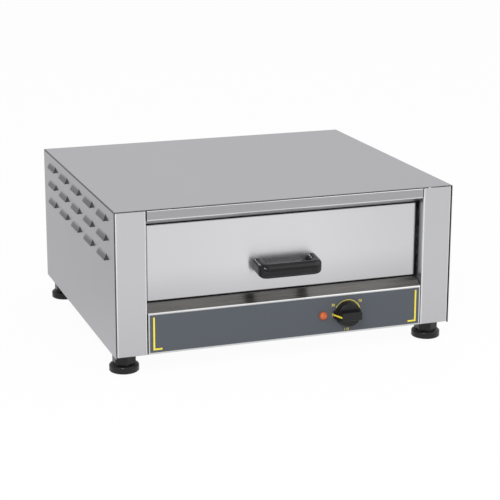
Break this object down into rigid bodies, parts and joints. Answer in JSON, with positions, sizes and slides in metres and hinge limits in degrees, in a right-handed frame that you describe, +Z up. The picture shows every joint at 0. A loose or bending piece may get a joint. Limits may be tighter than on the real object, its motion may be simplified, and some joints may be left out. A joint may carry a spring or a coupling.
{
  "type": "bun warmer",
  "caption": "Countertop drawer warmer: folded stainless cabinet with louvred sides, heated roller-runner drawer with bridge handle, thermostat dial, lamp and levelling feet.",
  "frame": {"origin": "on the surface that the feet stand on, below the middle of the whole box", "axes": "+X to the right seen from the front, +Y towards the back, +Z up"},
  "size_m": [0.5546, 0.51, 0.2552],
  "materials": {
    "brushed_stainless": "brushed along each sheet",
    "galvanised_sheet": "galvanised",
    "zinc_plated": "zinc plated",
    "overlay_print": "printed matt grey",
    "black_gloss": "moulded gloss",
    "black_satin": "moulded satin",
    "pointer_yellow": "printed yellow",
    "lamp_amber": "clear moulded, faceted",
    "lamp_rim": "moulded",
    "ceramic": "fired, unglazed",
    "nylon": "moulded, natural",
    "brass": "turned",
    "element_sheath": "heat-darkened",
    "copper_tube": "drawn",
    "lead_sleeve": "silicone"
  },
  "bodies": {
    "cabinet": {"base_pan": "galvanised_sheet", "bulb_clip": "brushed_stainless", "cabinet_rail_left": "zinc_plated", "cabinet_rail_right": "zinc_plated", "cable_gland": "black_satin", "cavity_floor": "galvanised_sheet", "cavity_rear_wall": "galvanised_sheet", "cavity_shell": "galvanised_sheet", "control_panel": "brushed_stainless", "earth_stud": "brass", "element_support_left": "galvanised_sheet", "element_support_right": "galvanised_sheet", "gland_nut": "black_satin", "heating_element": "element_sheath", "indicator_housing": "lamp_rim", "indicator_lens": "lamp_amber", "lamp_lead": "lead_sleeve", "left_post": "brushed_stainless", "neutral_lead": "lead_sleeve", "outer_cover": "brushed_stainless", "panel_overlay": "overlay_print", "rear_panel": "brushed_stainless", "rear_screw_lower_left": "zinc_plated", "rear_screw_lower_right": "zinc_plated", "rear_screw_upper_left": "zinc_plated", "rear_screw_upper_right": "zinc_plated", "right_post": "brushed_stainless", "supply_lead": "lead_sleeve", "switched_lead": "lead_sleeve", "terminal_block": "nylon", "thermostat_body": "ceramic", "thermostat_bulb": "copper_tube", "thermostat_screw_left": "zinc_plated", "thermostat_screw_right": "zinc_plated", "top_rail": "brushed_stainless"},
    "drawer": {"drawer_front": "brushed_stainless", "drawer_front_backing": "galvanised_sheet", "drawer_tray": "brushed_stainless", "handle": "black_gloss", "handle_screw_left": "zinc_plated", "handle_screw_right": "zinc_plated", "drawer_rail_left": "zinc_plated", "drawer_rail_right": "zinc_plated"},
    "knob": {"knob": "black_satin", "knob_pointer": "pointer_yellow", "thermostat_shaft": "zinc_plated"},
    "cabinet_roller_left": {"cabinet_roller_left": "nylon"},
    "drawer_roller_left": {"drawer_roller_left": "nylon"},
    "cabinet_roller_right": {"cabinet_roller_right": "nylon"},
    "drawer_roller_right": {"drawer_roller_right": "nylon"},
    "foot_stud_front_left": {"foot_stud_front_left": "zinc_plated"},
    "foot_pad_front_left": {"foot_pad_front_left": "black_satin"},
    "foot_stud_front_right": {"foot_stud_front_right": "zinc_plated"},
    "foot_pad_front_right": {"foot_pad_front_right": "black_satin"},
    "foot_stud_rear_left": {"foot_stud_rear_left": "zinc_plated"},
    "foot_pad_rear_left": {"foot_pad_rear_left": "black_satin"},
    "foot_stud_rear_right": {"foot_stud_rear_right": "zinc_plated"},
    "foot_pad_rear_right": {"foot_pad_rear_right": "black_satin"}
  },
  "joints": [
    {"name": "drawer_slide", "type": "slide", "parent": "cabinet", "child": "drawer", "axis": [0, -1, 0], "range_m": [0, 0.341]},
    {"name": "dial_turn", "type": "hinge", "parent": "cabinet", "child": "knob", "pos_m": [0.0977, -0.2344, 0.0643], "axis": [0, 1, 0], "range_deg": [0, 270]},
    {"name": "cabinet_roller_left_spin", "type": "hinge", "parent": "cabinet", "child": "cabinet_roller_left", "pos_m": [-0.2193, -0.1815, 0.1657], "axis": [1, 0, 0], "range_deg": [0, 1862]},
    {"name": "cabinet_roller_right_spin", "type": "hinge", "parent": "cabinet", "child": "cabinet_roller_right", "pos_m": [0.2193, -0.1815, 0.1657], "axis": [1, 0, 0], "range_deg": [0, 1862]},
    {"name": "drawer_roller_left_spin", "type": "hinge", "parent": "drawer", "child": "drawer_roller_left", "pos_m": [-0.2193, 0.1813, 0.1657], "axis": [1, 0, 0], "range_deg": [0, 1862]},
    {"name": "drawer_roller_right_spin", "type": "hinge", "parent": "drawer", "child": "drawer_roller_right", "pos_m": [0.2193, 0.1813, 0.1657], "axis": [1, 0, 0], "range_deg": [0, 1862]},
    {"name": "foot_screw_front_left", "type": "slide", "parent": "cabinet", "child": "foot_stud_front_left", "axis": [0, 0, -1], "range_m": [0, 0.008]},
    {"name": "foot_turn_front_left", "type": "hinge", "parent": "foot_stud_front_left", "child": "foot_pad_front_left", "pos_m": [-0.251, -0.197, 0], "axis": [0, 0, -1], "range_deg": [0, 2299]},
    {"name": "foot_screw_front_right", "type": "slide", "parent": "cabinet", "child": "foot_stud_front_right", "axis": [0, 0, -1], "range_m": [0, 0.008]},
    {"name": "foot_turn_front_right", "type": "hinge", "parent": "foot_stud_front_right", "child": "foot_pad_front_right", "pos_m": [0.251, -0.197, 0], "axis": [0, 0, -1], "range_deg": [0, 2299]},
    {"name": "foot_screw_rear_left", "type": "slide", "parent": "cabinet", "child": "foot_stud_rear_left", "axis": [0, 0, -1], "range_m": [0, 0.008]},
    {"name": "foot_turn_rear_left", "type": "hinge", "parent": "foot_stud_rear_left", "child": "foot_pad_rear_left", "pos_m": [-0.251, 0.199, 0], "axis": [0, 0, -1], "range_deg": [0, 2299]},
    {"name": "foot_screw_rear_right", "type": "slide", "parent": "cabinet", "child": "foot_stud_rear_right", "axis": [0, 0, -1], "range_m": [0, 0.008]},
    {"name": "foot_turn_rear_right", "type": "hinge", "parent": "foot_stud_rear_right", "child": "foot_pad_rear_right", "pos_m": [0.251, 0.199, 0], "axis": [0, 0, -1], "range_deg": [0, 2299]}
  ],
  "couplings": [
    {"joint": "cabinet_roller_left_spin", "follows": "drawer_slide", "rad_per_m": 95.238},
    {"joint": "cabinet_roller_right_spin", "follows": "drawer_slide", "rad_per_m": 95.238},
    {"joint": "drawer_roller_left_spin", "follows": "drawer_slide", "rad_per_m": 95.238},
    {"joint": "drawer_roller_right_spin", "follows": "drawer_slide", "rad_per_m": 95.238},
    {"joint": "foot_screw_front_left", "follows": "foot_turn_front_left", "m_per_rad": 0.00019894},
    {"joint": "foot_screw_front_right", "follows": "foot_turn_front_right", "m_per_rad": 0.00019894},
    {"joint": "foot_screw_rear_left", "follows": "foot_turn_rear_left", "m_per_rad": 0.00019894},
    {"joint": "foot_screw_rear_right", "follows": "foot_turn_rear_right", "m_per_rad": 0.00019894}
  ]
}
